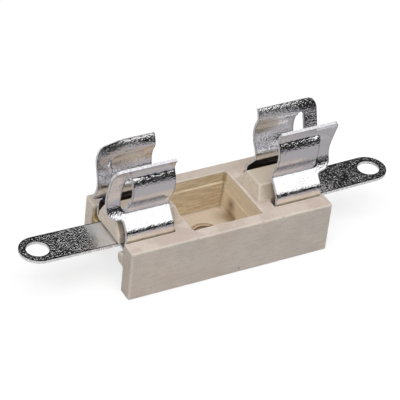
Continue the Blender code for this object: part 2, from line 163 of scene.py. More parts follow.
# Scales along x, y and z of the patterns that are drawn out
DRAG_SCALES = (350.0, 350.0, 2900.0)        # level streaks on the recess's walls
BRUSH_SCALES = (330.0, 2600.0, 2600.0)      # strokes along the outer walls
EDGE_SCALES = (1800.0, 900.0, 500.0)        # strokes across the sheared edge

# Spans of the ceramic: where a change starts, where it is full and the share it reaches if not 1.
# They are levels of a pattern, parts of the normal, or places in the part.
PATCHES = (0.4, 0.6)
OUTSIDE_CLOUDS = (0.35, 0.65, 0.5)
RIM_CLOUDS = (0.38, 0.62)
DRAG_STREAKS = (0.35, 0.65)
STROKES = (0.45, 0.7, 0.3)
GRAIN = (0.35, 0.75, 0.22)
EDGE_WEAR_AND_HIGHLIGHT_SPAN = (0.508, 0.55, 0.42)
CREVICE_SHADE_SPAN = (0.492, 0.45, 0.65)
TOP_FACING = (0.5, 0.85)
TOP_ABOVE = (8.5 * MM, 9.5 * MM)
RIM_AT_BACK = (6.0 * MM, 8.0 * MM, 0.6)
END_FACING = (-0.5, -0.8)
END_AT_BACK = (-2.0 * MM, 6.0 * MM, 0.6)
TONGUE_ABOVE = (11.2 * MM, 11.6 * MM)
TONGUE_TOP_FACING = (0.3, 0.8)
TONGUE_SIDE_FACING = (0.8, 0.3)
TONGUE_BETWEEN_LEAVES = (9.3 * MM, 10.8 * MM, 0.9)
OUTER_END_FACING = (0.35, 0.6)
OUTER_END_BEYOND = (19.0 * MM, 20.0 * MM)
OUTER_END_ABOVE = (9.0 * MM, 9.4 * MM)
RECESS_BELOW = (11.2 * MM, 10.8 * MM)
RIGHT_WALL_FACING = (-0.5, -0.9, 0.7)
RECESS_TO_LEFT = (0.0, -8.0 * MM, 0.45)
FLOOR_FACING = (0.6, 0.9)
FLOOR_BELOW = (4.5 * MM, 3.5 * MM)
STEP_LINE_BEYOND = (6.8 * MM, 7.0 * MM, 0.6)
CORNER_SHADE_ALONG = (6.9 * MM, 7.3 * MM)
CORNER_SHADE_ACROSS = (6.8 * MM, 7.2 * MM, 0.7)
HOLE_WITHIN = (3.4 * MM, 3.3 * MM)
HOLE_BELOW = (3.6 * MM, 3.3 * MM)
SLOT_BELOW = (11.2 * MM, 9.6 * MM)
SLOT_END_BEYOND = (20.5 * MM, 21.5 * MM)
BACK_HALF = (-1.0 * MM, 1.0 * MM)

# Limits of the ceramic's regions, measured from the middle of the base, and how soft they are
RECESS_HALF_LENGTH = 8.1 * MM
RECESS_HALF_WIDTH = 7.9 * MM
TONGUE_FROM = 8.5 * MM
TONGUE_HALF_WIDTH = 5.6 * MM
DARK_SLOT_FROM = 11.3 * MM
DARK_SLOT_HALF_WIDTH = 6.9 * MM
OUTER_END_HALF_WIDTH = 5.0 * MM
MASK_SOFTNESS = 0.15 * MM
SLOT_FROM_SOFTNESS = 0.3 * MM
SLOT_SIDE_SOFTNESS = 0.2 * MM

# Fine dark lines along the recess's long sides: their heights, half their width and softness
STEP_LINES = (9.20 * MM, 8.58 * MM, 4.10 * MM)
STEP_LINE_HALF = 0.06 * MM
STEP_LINE_SOFTNESS = 0.05 * MM

# Stains in the recess and a pit in the front: centre, radius and strength
STAINS = (((7.2 * MM, 3.4 * MM, 5.6 * MM), 2.4 * MM, 0.7),
          ((7.2 * MM, 3.4 * MM, 5.8 * MM), 0.7 * MM, 0.8),
          ((7.1 * MM, 3.3 * MM, 3.2 * MM), 2.0 * MM, 0.75),
          ((7.0 * MM, 1.6 * MM, 3.1 * MM), 2.2 * MM, 0.85),
          ((6.0 * MM, 3.8 * MM, FLOOR_TOP), 3.4 * MM, 0.5),
          ((2.1 * MM, BASE_FRONT, 1.0 * MM), 0.4 * MM, 0.9))

# Levels of a cloudy pattern between which a roughness changes, on ceramic and plating
ROUGHNESS_CLOUDS = (0.3, 0.7)

# Surface of the ceramic
CERAMIC_SPECULAR = 0.3
CERAMIC_ROUGHNESS = (0.68, 0.85)
CERAMIC_BUMP = 0.6
CERAMIC_BUMP_HEIGHT = 0.05 * MM
DRAG_RELIEF = 0.8               # height of the streaks for that of the grain

# Surface of the plated sheet and of its sheared edge
PLATING_CLOUDS = (0.35, 0.65)
PLATING_ROUGHNESS = (0.08, 0.13)
PEBBLE_HEIGHT = 0.10 * MM
LEAF_PEBBLE = 0.68              # share of that height on the leaves
LEAF_RIM_WIDTH = 0.3 * MM       # painted dark reflection along a sheared edge
TAB_RIM_WIDTH = 0.5 * MM
LEAF_RIM_DARKNESS = 0.55
TAB_RIM_DARKNESS = 0.97
ROOT_DULLNESS = 0.40            # roughness that the left tab gains beside the ceramic
ROOT_METALLIC = 0.78
FOOT_DARKNESS = 0.8
EDGE_STROKES = (0.4, 0.6)
EDGE_GLOSS_STROKES = (0.35, 0.65)
EDGE_ROUGHNESS = (0.22, 0.34)
EDGE_METALLIC = 0.35
EDGE_BUMP = 0.15
EDGE_BUMP_HEIGHT = 0.02 * MM

# Spans of the sheet, as for the ceramic
TAB_BELOW = (10.8 * MM, 10.2 * MM)
RISER_ABOVE = (10.0 * MM, 10.6 * MM)
RISER_BELOW = (12.4 * MM, 11.9 * MM)
FOOT_ABOVE = (9.6 * MM, 10.0 * MM)
FOOT_BELOW = (13.6 * MM, 12.9 * MM)
FOOT_FACES_IN = (-3.0 * MM, -5.0 * MM)      # distance from the middle times the normal across
ROOT_TOWARDS_BASE = (-28.5 * MM, -22.5 * MM)
LEFT_END = (0.0, -5.0 * MM)
EDGE_ABOVE_PLATE = (10.4 * MM, 11.4 * MM, 0.55)

# Where the tabs' skin leans away from the front: start, full and slope
LEFT_TIP_LEAN = (-28.0 * MM, -38.0 * MM, 0.035)
RIGHT_TAB_LEAN = (24.0 * MM, 27.0 * MM, 0.05)

# Studio: levels as light, edges in degrees above the horizon
WHITE = (1.0, 1.0, 1.0, 1.0)
SOFT_LIGHT = 0.42
BOX_LEVEL = 1.15
STUDIO_GAP = 0.02
SWEEP_LEVEL = 0.9
FRONT_BOX_EDGE = 21.0
BACK_BOX_EDGE = 48.0
SWEEP_EDGE = 6.0
BOX_SOFTNESS = 1.5
SWEEP_SOFTNESS = 6.0
FRONT_TURN = 0.3                # direction across at which the front turns into the back
LAMP_PLACE = Vector((-100.0, -150.0, 600.0)) * MM
LAMP_SIZE = 500.0 * MM
LAMP_POWER = 2.9
FLOOR_SIZE = 360.0 * MM
FLOOR_GAP = 0.02 * MM
FLOOR_ROUGHNESS = 0.9
FLOOR_BOUNCE = (0.80, 0.80, 0.80, 1.0)
FLOOR_SEEN = (0.26, 0.26, 0.26, 1.0)
FLOOR_MIRRORED = (0.40, 0.385, 0.40, 1.0)
FLOOR_GLOW = 0.77

# Wear of the ceramic: chips as centre, radius and depth
CHIPS = ((Vector((6.5 * MM, BASE_FRONT, BASE_TOP)), 0.5 * MM, 0.16 * MM),
         (Vector((11.0 * MM, BASE_FRONT, BASE_TOP)), 0.6 * MM, 0.18 * MM),
         (Vector((2.1 * MM, BASE_FRONT, 0.8 * MM)), 0.4 * MM, 0.2 * MM),
         (Vector((-8.0 * MM, BASE_FRONT, BASE_TOP)), 0.4 * MM, 0.12 * MM),
         (Vector((22.3 * MM, BASE_FRONT, 5.0 * MM)), 0.5 * MM, 0.12 * MM))
CHIP_GRAIN = 0.25 * MM
CHIP_MEAN = 0.75                # share of a chip's depth, and how much it varies
CHIP_SWING = 0.5
UNEVEN_DEPTH = 0.05 * MM
UNEVEN_LENGTH = 1.4 * MM

# Walls of the recess as (height, distance from the middle): in the construction and as they look
RECESS_DEEP = 3.2 * MM
RECESS_HIGH = 11.2 * MM
WALL_FROM = 6.8 * MM
CORNER_FROM = 6.2 * MM
CORNER_TO = 6.7 * MM
CAD_END_WALL = [(BASE_TOP, 7.8 * MM), (7.4 * MM, 7.8 * MM), (6.5 * MM, 7.05 * MM),
                (FLOOR_TOP, 7.05 * MM)]
END_WALL = [(BASE_TOP, 7.8 * MM), (7.5 * MM, 7.5 * MM), (7.3 * MM, 7.4 * MM),
            (FLOOR_TOP, 7.05 * MM)]
CAD_SIDE_WALL = [(BASE_TOP, 7.6 * MM), (9.1 * MM, 7.6 * MM), (8.38 * MM, 7.0 * MM),
                 (FLOOR_TOP, 7.0 * MM)]
SIDE_WALL = [(BASE_TOP, 7.6 * MM), (9.1 * MM, 7.5 * MM), (8.7 * MM, 7.2 * MM),
             (4.2 * MM, 7.08 * MM), (FLOOR_TOP, 7.0 * MM)]

# Slots beside the leaves, where the real sheet is pressed in tight
SLOT_WALL = 6.75 * MM
SLOT_START = 11.0 * MM
SLOT_STOP = 22.5 * MM
SLOT_LOW = 7.5 * MM
SLOT_BLEND = 0.6 * MM
SLOT_CLOSED = 0.25 * MM

# Fineness
ARC_STEP = math.radians(3.0)
CORNER_STEP = math.radians(6.0)
ROW_STEP = 0.4 * MM
COLUMN_STEP = 0.5 * MM
HOLE_SEGMENTS = 64
BURR_SEGMENTS = 3
BURR_ANGLE = math.radians(60.0)
MERGE_DISTANCE = 0.001 * MM
FLAT_ANGLE = math.radians(1.0)
VOXEL = 0.24 * MM
SOFTENING = 0.5

# Places that follow
PLATE_MIDDLE = PLATE_TOP - SHEET / 2
LEAF_OFFSET = (LEAF_SPREAD - SHEET) / 2
FOOT_END = CLIP_INNER_END + FOOT_LENGTH
GRIP_END = CLIP_INNER_END + GRIP_LENGTH
STOP_START = GRIP_END + WINDOW_LENGTH
STOP_END = STOP_START + STOP_LENGTH
LIP_TURNS = GRIP_END - LIP_EASE


def feed(tree, target, value):
    """Links a socket to an input, or sets the input to a value."""
    if isinstance(value, bpy.types.NodeSocket):
        tree.links.new(value, target)
    else:
        target.default_value = value


def add_node(tree, kind, inputs=None, **settings):
    """Adds a shader node, with its settings, and with its inputs set or linked."""
    made = tree.nodes.new(kind)
    for name, value in settings.items():
        setattr(made, name, value)
    for socket, value in (inputs or {}).items():
        feed(tree, made.inputs[socket], value)
    return made


def calculate(tree, operation, first, second=0.0):
    """Result of a maths node."""
    return add_node(tree, "ShaderNodeMath", {0: first, 1: second}, operation=operation).outputs[0]


def ramp(tree, value, low, high, from_value, to_value):
    """Smooth change from one value to another while the input goes from low to high."""
    inputs = {"Value": value, "From Min": low, "From Max": high, "To Min": from_value,
              "To Max": to_value}
    made = add_node(tree, "ShaderNodeMapRange", inputs, interpolation_type="SMOOTHSTEP")
    return made.outputs["Result"]


def fade(tree, value, start, full, share=1.0):
    """Smooth rise from 0 where a change starts to its share where it is full."""
    return ramp(tree, value, start, full, 0.0, share)


def between(tree, share, first, second):
    """Value that goes smoothly from the first to the second as the share goes from 0 to 1."""
    return ramp(tree, share, 0.0, 1.0, first, second)


def mix_colours(tree, share, first, second):
    """Mix of two colours: the first where the share is 0, the second where it is 1."""
    made = add_node(tree, "ShaderNodeMix", data_type="RGBA")
    wanted = (("Factor", "VALUE", share), ("A", "RGBA", first), ("B", "RGBA", second))
    for name, kind, value in wanted:
        feed(tree, next(s for s in made.inputs if s.name == name and s.type == kind), value)
    return next(s for s in made.outputs if s.type == "RGBA")


def parts_of(tree, vector):
    """The x, y and z of a vector."""
    return add_node(tree, "ShaderNodeSeparateXYZ", {"Vector": vector}).outputs


def new_material(name):
    """Material with a bare Principled shader, its tree and the shader."""
    material = bpy.data.materials.new(name)
    material.use_nodes = True
    tree = material.node_tree
    return material, tree, tree.nodes["Principled BSDF"]


def noise_value(tree, place, scale, detail, roughness):
    """Noise pattern between about 0.3 and 0.7."""
    inputs = {"Vector": place, "Scale": scale, "Detail": detail, "Roughness": roughness}
    return add_node(tree, "ShaderNodeTexNoise", inputs).outputs["Fac"]


def stretched(tree, place, factors):
    """Coordinates scaled on each axis."""
    return add_node(tree, "ShaderNodeMapping", {"Vector": place, "Scale": factors}).outputs[0]


def inside(tree, value, limit, soft):
    """1 where the absolute value is below a limit and 0 beyond it, with a soft edge."""
    return fade(tree, calculate(tree, "ABSOLUTE", value), limit + soft, limit - soft)


def outside(tree, value, limit, soft):
    """1 where the absolute value is beyond a limit and 0 below it, with a soft edge."""
    return calculate(tree, "SUBTRACT", 1.0, inside(tree, value, limit, soft))


def product(tree, *shares):
    """Product of several shares."""
    result = shares[0]
    for share in shares[1:]:
        result = calculate(tree, "MULTIPLY", result, share)
    return result


def spot(tree, place, centre, radius):
    """Soft round spot about a point: 1 in its middle, 0 outside."""
    gap = add_node(tree, "ShaderNodeVectorMath", {0: place, 1: centre}, operation="DISTANCE")
    return fade(tree, gap.outputs["Value"], radius, 0.0)


def add_bump(tree, shader, height, strength, distance):
    """Gives a shader a bump from a pattern of heights."""
    inputs = {"Height": height, "Strength": strength, "Distance": distance}
    bump = add_node(tree, "ShaderNodeBump", inputs)
    tree.links.new(bump.outputs[0], shader.inputs["Normal"])


def ceramic_inputs(tree):
    """What the ceramic's colours depend on: place, facing, edges and patterns of noise."""
    coordinates = add_node(tree, "ShaderNodeTexCoord").outputs
    place = coordinates["Object"]
    x, y, z = parts_of(tree, place)
    along, _, up = parts_of(tree, coordinates["Normal"])
    return SimpleNamespace(
        place=place, x=x, y=y, z=z, along=along, up=up,
        far_along=calculate(tree, "ABSOLUTE", x),
        far_across=calculate(tree, "ABSOLUTE", y),
        convex=add_node(tree, "ShaderNodeNewGeometry").outputs["Pointiness"],
        patch=noise_value(tree, place, *PATCH_NOISE),
        cloud=noise_value(tree, place, *CLOUD_NOISE),
        grain=noise_value(tree, place, *GRAIN_NOISE),
        drag=noise_value(tree, stretched(tree, place, DRAG_SCALES), *STREAK_NOISE),
        brush=noise_value(tree, stretched(tree, place, BRUSH_SCALES), *STREAK_NOISE))


def ceramic_regions(tree, at):
    """Shares of the top, the recess, the tongues and the slots' painted shade."""
    top = product(tree, fade(tree, at.up, *TOP_FACING), fade(tree, at.z, *TOP_ABOVE))
    recess = product(tree, inside(tree, at.x, RECESS_HALF_LENGTH, MASK_SOFTNESS),
                     inside(tree, at.y, RECESS_HALF_WIDTH, MASK_SOFTNESS),
                     fade(tree, at.z, *RECESS_BELOW))
    tongue = product(tree, outside(tree, at.x, TONGUE_FROM, MASK_SOFTNESS),
                     inside(tree, at.y, TONGUE_HALF_WIDTH, MASK_SOFTNESS),
                     fade(tree, at.z, *TONGUE_ABOVE))
    slot = product(tree, outside(tree, at.x, DARK_SLOT_FROM, SLOT_FROM_SOFTNESS),
                   inside(tree, at.y, DARK_SLOT_HALF_WIDTH, SLOT_SIDE_SOFTNESS),
                   fade(tree, at.z, *SLOT_BELOW))
    return SimpleNamespace(top=top, recess=recess, tongue=tongue, slot=slot)


def wall_colour(tree, at):
    """Outer walls: pinkish and greyish patches, lighter at the back of the left end."""
    colour = mix_colours(tree, fade(tree, at.patch, *PATCHES), OUTSIDE_PINK, OUTSIDE_GREY)
    colour = mix_colours(tree, fade(tree, at.cloud, *OUTSIDE_CLOUDS), colour, OUTSIDE_LIGHT)
    end_back = product(tree, fade(tree, at.along, *END_FACING), fade(tree, at.y, *END_AT_BACK))
    return mix_colours(tree, end_back, colour, END_LIGHT)


def rim_colour(tree, at):
    """Upward faces: mottled, and a little darker along the back with painted shade."""
    colour = mix_colours(tree, fade(tree, at.cloud, *RIM_CLOUDS), RIM_DARK, RIM_LIGHT)
    # painted shade: the top faces darken towards the back
    return mix_colours(tree, fade(tree, at.y, *RIM_AT_BACK), colour, RIM_BACK_SHADE)


def tongue_colour(tree, at):
    """Tongues: light sides under a darker top, with painted brown shade on the sides between the
    leaves.
    """
    colour = mix_colours(tree, fade(tree, at.up, *TONGUE_TOP_FACING), TONGUE_SIDE, TONGUE_TOP)
    # painted brown shade on the tongues' sides between the leaves
    shaded = product(tree, fade(tree, at.far_along, *TONGUE_BETWEEN_LEAVES),
                     fade(tree, at.up, *TONGUE_SIDE_FACING))
    return mix_colours(tree, shaded, colour, TONGUE_SHADED)


def recess_colour(tree, at):
    """Recess: streaked ochre walls with dark lines, painted light on the right wall and towards the
    left, painted shade in the corners, a paler floor and a brown hole.
    """
    colour = mix_colours(tree, fade(tree, at.drag, *DRAG_STREAKS), RECESS_DARK, RECESS_LIGHT)
    # painted light on the right wall and towards the left
    colour = mix_colours(tree, fade(tree, at.along, *RIGHT_WALL_FACING), colour, RECESS_LIT)
    colour = mix_colours(tree, fade(tree, at.x, *RECESS_TO_LEFT), colour, RECESS_LIT)
    floor = product(tree, fade(tree, at.up, *FLOOR_FACING), fade(tree, at.z, *FLOOR_BELOW))
    colour = mix_colours(tree, floor, colour, FLOOR_COLOUR)
    for height in STEP_LINES:
        above = calculate(tree, "SUBTRACT", at.z, height)
        line = product(tree, inside(tree, above, STEP_LINE_HALF, STEP_LINE_SOFTNESS),
                       fade(tree, at.far_across, *STEP_LINE_BEYOND))
        colour = mix_colours(tree, line, colour, RECESS_LINE)
    # painted shade in the recess's upright corners
    corner = product(tree, fade(tree, at.far_along, *CORNER_SHADE_ALONG),
                     fade(tree, at.far_across, *CORNER_SHADE_ACROSS))
    colour = mix_colours(tree, corner, colour, RECESS_LINE)
    level_place = stretched(tree, at.place, (1.0, 1.0, 0.0))
    from_axis = add_node(tree, "ShaderNodeVectorMath", {0: level_place}, operation="LENGTH")
    hole = product(tree, fade(tree, from_axis.outputs["Value"], *HOLE_WITHIN),
                   fade(tree, at.z, *HOLE_BELOW))
    return mix_colours(tree, hole, colour, HOLE_COLOUR)


def add_slots(tree, at, slot, colour):
    """A colour with the slots' painted shade, paler at their ends, and the tongues' outer ends added.
    """
    # painted shade in the slots, giving way at their outer ends to painted light: brown at the back
    # and pale at the front
    colour = mix_colours(tree, slot, colour, SLOT_SHADE_COLOUR)
    slot_end = product(tree, slot, fade(tree, at.far_along, *SLOT_END_BEYOND))
    slot_end_shading = mix_colours(tree, fade(tree, at.y, *BACK_HALF), OUTSIDE_LIGHT, SLOT_END_SHADE_COLOUR)
    colour = mix_colours(tree, slot_end, colour, slot_end_shading)
    facing = fade(tree, calculate(tree, "ABSOLUTE", at.along), *OUTER_END_FACING)
    outer_end = product(tree, facing, fade(tree, at.far_along, *OUTER_END_BEYOND),
                        inside(tree, at.y, OUTER_END_HALF_WIDTH, SLOT_SIDE_SOFTNESS),
                        fade(tree, at.z, *OUTER_END_ABOVE))
    return mix_colours(tree, outer_end, colour, TONGUE_OUTER)


def add_marks(tree, at, walls, colour):
    """A colour with stains, strokes on the outer walls, grain, wear and painted highlight on convex
    edges and painted shade in crevices added.
    """
    for centre, radius, share in STAINS:
        stain = product(tree, spot(tree, at.place, centre, radius), share)
        colour = mix_colours(tree, stain, colour, STAIN_COLOUR)
    strokes = product(tree, fade(tree, at.brush, *STROKES), walls)
    colour = mix_colours(tree, strokes, colour, STROKE_COLOUR)
    colour = mix_colours(tree, fade(tree, at.grain, *GRAIN), colour, GRAIN_COLOUR)
    # wear and painted highlight along convex edges
    colour = mix_colours(tree, fade(tree, at.convex, *EDGE_WEAR_AND_HIGHLIGHT_SPAN), colour, EDGE_WEAR_AND_HIGHLIGHT)
    # painted shade in the hollows
    return mix_colours(tree, fade(tree, at.convex, *CREVICE_SHADE_SPAN), colour, CREVICE_SHADE)


def ceramic_material():
    """Matte unglazed ceramic: cream where it faces up, greyer outside, ochre and streaked inside."""
    material, tree, shader = new_material("Unglazed ceramic")
    at = ceramic_inputs(tree)
    region = ceramic_regions(tree, at)
    colour = mix_colours(tree, region.top, wall_colour(tree, at), rim_colour(tree, at))
    colour = mix_colours(tree, region.tongue, colour, tongue_colour(tree, at))
    colour = mix_colours(tree, region.recess, colour, recess_colour(tree, at))
    colour = add_slots(tree, at, region.slot, colour)
    walls = product(tree, calculate(tree, "SUBTRACT", 1.0, region.recess),
                    calculate(tree, "SUBTRACT", 1.0, region.top))
    tree.links.new(add_marks(tree, at, walls, colour), shader.inputs["Base Color"])
    shader.inputs["Specular IOR Level"].default_value = CERAMIC_SPECULAR
    roughness = ramp(tree, at.cloud, *ROUGHNESS_CLOUDS, *CERAMIC_ROUGHNESS)
    tree.links.new(roughness, shader.inputs["Roughness"])
    relief = calculate(tree, "ADD", at.grain, product(tree, at.drag, DRAG_RELIEF))
    add_bump(tree, shader, relief, CERAMIC_BUMP, CERAMIC_BUMP_HEIGHT)
    return material


def plating_inputs(tree):
    """What the plating depends on: place, facing, a cloudy pattern and the share of a tab."""
    coordinates = add_node(tree, "ShaderNodeTexCoord").outputs
    place = coordinates["Object"]
    x, y, z = parts_of(tree, place)
    return SimpleNamespace(
        place=place, x=x, y=y, z=z,
        across=parts_of(tree, coordinates["Normal"])["Y"],
        cloud=noise_value(tree, place, *PLATING_NOISE),
        on_tab=fade(tree, z, *TAB_BELOW))


def plating_tint(tree, at):
    """Tint of the plating: a painted dark reflection along its rims, a painted warm reflection on the
    risers and a painted brown reflection of shade inside the feet.
    """
    tint = mix_colours(tree, fade(tree, at.cloud, *PLATING_CLOUDS), PLATING_COOL, PLATING_WARM)
    to_rim = add_node(tree, "ShaderNodeAttribute", attribute_name="to_rim").outputs["Fac"]
    width = between(tree, at.on_tab, LEAF_RIM_WIDTH, TAB_RIM_WIDTH)
    darkness = between(tree, at.on_tab, LEAF_RIM_DARKNESS, TAB_RIM_DARKNESS)
    # painted dark reflection along the sheared edges, stronger on the tabs
    rim_reflection = product(tree, fade(tree, to_rim, width, 0.0), darkness)
    tint = mix_colours(tree, rim_reflection, tint, RIM_REFLECTION_LINE)
    # painted warm reflection on the risers
    riser = product(tree, fade(tree, at.z, *RISER_ABOVE), fade(tree, at.z, *RISER_BELOW))
    tint = mix_colours(tree, riser, tint, RISER_REFLECTION)
    # painted brown reflection of the shaded ceramic on the feet's inner faces
    faces_in = fade(tree, product(tree, at.y, at.across), *FOOT_FACES_IN)
    foot_reflection = product(tree, faces_in, fade(tree, at.z, *FOOT_BELOW), fade(tree, at.z, *FOOT_ABOVE),
                   FOOT_DARKNESS)
    return mix_colours(tree, foot_reflection, tint, FOOT_SHADE)


def plating_height(tree, at):
    """Height of the plating, as shares of a pebble's: pebbles on a skin that leans on the tabs."""
    size = between(tree, at.on_tab, LEAF_PEBBLE, 1.0)
    pebbles = product(tree, noise_value(tree, at.place, *PEBBLE_NOISE), size)
    lean = calculate(tree, "ADD", fade(tree, at.x, *LEFT_TIP_LEAN),
                     fade(tree, at.x, *RIGHT_TAB_LEAN))
    fall = product(tree, at.y, -1.0 / PEBBLE_HEIGHT, lean)
    return calculate(tree, "ADD", pebbles, fall)


def plated_material():
    """Bright plating over a finely pebbled sheet, duller where the left tab meets the ceramic."""
    material, tree, shader = new_material("Bright plating")
    at = plating_inputs(tree)
    tree.links.new(plating_tint(tree, at), shader.inputs["Base Color"])
    root = product(tree, at.on_tab, fade(tree, at.x, *ROOT_TOWARDS_BASE),
                   fade(tree, at.x, *LEFT_END))
    tree.links.new(between(tree, root, 1.0, ROOT_METALLIC), shader.inputs["Metallic"])
    roughness = calculate(tree, "ADD", ramp(tree, at.cloud, *ROUGHNESS_CLOUDS, *PLATING_ROUGHNESS),
                          product(tree, root, ROOT_DULLNESS))
    tree.links.new(roughness, shader.inputs["Roughness"])
    add_bump(tree, shader, plating_height(tree, at), 1.0, PEBBLE_HEIGHT)
    return material


def edge_material():
    """Sheared edge of the sheet: bright with fine strokes across it, and greyer on the leaves."""
    material, tree, shader = new_material("Sheared edge")
    place = add_node(tree, "ShaderNodeTexCoord").outputs["Object"]
    stroke = noise_value(tree, stretched(tree, place, EDGE_SCALES), *EDGE_NOISE)
    height = parts_of(tree, place)["Z"]
    tint = mix_colours(tree, fade(tree, stroke, *EDGE_STROKES), EDGE_DARK, EDGE_LIGHT)
    tint = mix_colours(tree, fade(tree, height, *EDGE_ABOVE_PLATE), tint, EDGE_ABOVE)
    tree.links.new(tint, shader.inputs["Base Color"])
    shader.inputs["Metallic"].default_value = EDGE_METALLIC
    roughness = ramp(tree, stroke, *EDGE_GLOSS_STROKES, *EDGE_ROUGHNESS)
    tree.links.new(roughness, shader.inputs["Roughness"])
    add_bump(tree, shader, stroke, EDGE_BUMP, EDGE_BUMP_HEIGHT)
    return material


def make_camera():
    """Camera at the photograph's viewpoint."""
    data = bpy.data.cameras.new("Camera")
    data.lens = CAMERA_LENS
    camera = bpy.data.objects.new("Camera", data)
    bpy.context.scene.collection.objects.link(camera)
    back = Vector((math.sin(CAMERA_AZIMUTH) * math.cos(CAMERA_ELEVATION),
                   -math.cos(CAMERA_AZIMUTH) * math.cos(CAMERA_ELEVATION),
                   math.sin(CAMERA_ELEVATION)))
    right = Vector((0, 0, 1)).cross(back).normalized()
    axes = Matrix((right, back.cross(right), back)).transposed()
    turn = axes @ Matrix.Rotation(CAMERA_ROLL, 3, "Z")
    camera.matrix_world = Matrix.Translation(CAMERA_PLACE) @ turn.to_4x4()
    bpy.context.scene.camera = camera


def make_world():
    """White surroundings. The metal mirrors a studio with softboxes and dark gaps between them."""
    world = bpy.data.worlds.new("Studio")
    bpy.context.scene.world = world
    world.use_nodes = True
    tree = world.node_tree
    tree.nodes.clear()
    direction = add_node(tree, "ShaderNodeTexCoord").outputs["Generated"]
    _, y, z = parts_of(tree, direction)
    height = calculate(tree, "DEGREES", calculate(tree, "ARCSINE", z))
    front = fade(tree, y, FRONT_TURN, -FRONT_TURN)
    box_edge = between(tree, front, BACK_BOX_EDGE, FRONT_BOX_EDGE)
    above_edge = calculate(tree, "SUBTRACT", height, box_edge)
    box = ramp(tree, above_edge, -BOX_SOFTNESS, BOX_SOFTNESS, STUDIO_GAP, BOX_LEVEL)
    sweep = fade(tree, height, SWEEP_EDGE + SWEEP_SOFTNESS, SWEEP_EDGE, SWEEP_LEVEL)
    sweep = product(tree, sweep, calculate(tree, "SUBTRACT", 1.0, front))
    studio = calculate(tree, "ADD", box, sweep)
    path = add_node(tree, "ShaderNodeLightPath").outputs
    shown = calculate(tree, "MAXIMUM", path["Is Camera Ray"], path["Is Transmission Ray"])
    level = between(tree, shown, SOFT_LIGHT, 1.0)
    mixed = add_node(tree, "ShaderNodeMix", {"Factor": path["Is Glossy Ray"]}, data_type="FLOAT")
    tree.links.new(level, mixed.inputs["A"])
    tree.links.new(studio, mixed.inputs["B"])
    sky = add_node(tree, "ShaderNodeBackground", {"Color": WHITE, "Strength": mixed.outputs[0]})
    add_node(tree, "ShaderNodeOutputWorld", {"Surface": sky.outputs[0]})


def make_floor():
    """White floor that keeps the object's shadow and is pale lavender grey in the metal."""
    bpy.ops.mesh.primitive_plane_add(size=FLOOR_SIZE, location=(0, 0, -FLOOR_GAP))
    floor = bpy.context.object
    floor.name = "floor"
    material, tree, shader = new_material("White floor")
    shader.inputs["Roughness"].default_value = FLOOR_ROUGHNESS
    shader.inputs["Specular IOR Level"].default_value = 0.0
    path = add_node(tree, "ShaderNodeLightPath").outputs
    colour = mix_colours(tree, path["Is Camera Ray"], FLOOR_BOUNCE, FLOOR_SEEN)
    colour = mix_colours(tree, path["Is Glossy Ray"], colour, FLOOR_MIRRORED)
    tree.links.new(colour, shader.inputs["Base Color"])
    strength = calculate(tree, "MULTIPLY", path["Is Camera Ray"], FLOOR_GLOW)
    glow = add_node(tree, "ShaderNodeEmission", {"Color": WHITE, "Strength": strength})
    both = add_node(tree, "ShaderNodeAddShader", {0: shader.outputs[0], 1: glow.outputs[0]})
    tree.links.new(both.outputs[0], tree.nodes["Material Output"].inputs["Surface"])
    floor.data.materials.append(material)


def make_lamp():
    """Soft square lamp overhead that points at the base and isn't mirrored in the metal."""
    data = bpy.data.lights.new("Overhead", "AREA")
    data.size = LAMP_SIZE
    data.energy = LAMP_POWER
    lamp = bpy.data.objects.new("Overhead", data)
    bpy.context.scene.collection.objects.link(lamp)
    lamp.location = LAMP_PLACE
    lamp.rotation_euler = (-LAMP_PLACE).to_track_quat("-Z", "Y").to_euler()
    lamp.visible_glossy = False


def bend(name, radius, turn_degrees):
    """A bend as (name, length, radius, turn in radians)."""
    turn = math.radians(turn_degrees)
    return (name, radius * abs(turn), radius, turn)


LEAF = [("plate", LEAF_OFFSET - FOLD_RADIUS, 0.0, 0.0),
        bend("fold", FOLD_RADIUS, FOLD_TURN),
        ("riser", RISER_RUN, 0.0, 0.0),
        bend("shoulder", SHOULDER_RADIUS, SHOULDER_TURN),
        ("slope", SHOULDER_RUN, 0.0, 0.0),
        bend("crease", CREASE_RADIUS, CREASE_TURN),
        bend("waist", WAIST_RADIUS, WAIST_TURN),
        bend("grip", GRIP_RADIUS, GRIP_TURN),
        bend("neck", NECK_RADIUS, NECK_TURN),
        ("lip", LIP_RUN, 0.0, 0.0)]


def follow(distance):
    """Point and heading on the leaf path at a distance from its start."""
    point = Vector((0.0, PLATE_MIDDLE))
    heading = 0.0
    for name, length, radius, turn in LEAF:
        run = distance if name == "lip" else min(distance, length)
        if turn:
            side = math.copysign(1.0, turn)
            normal = Vector((-math.sin(heading), math.cos(heading))) * side
            centre = point + normal * radius
            heading += turn * run / length
            normal = Vector((-math.sin(heading), math.cos(heading))) * side
            point = centre - normal * radius
        else:
            point = point + Vector((math.cos(heading), math.sin(heading))) * run
        distance -= run
        if distance <= 0.0:
            break
    return point, heading


def run_to(stop):
    """Length of the leaf path up to the piece of that name."""
    run = 0.0
    for name, length, _, _ in LEAF:
        if name == stop:
            break
        run += length
    return run


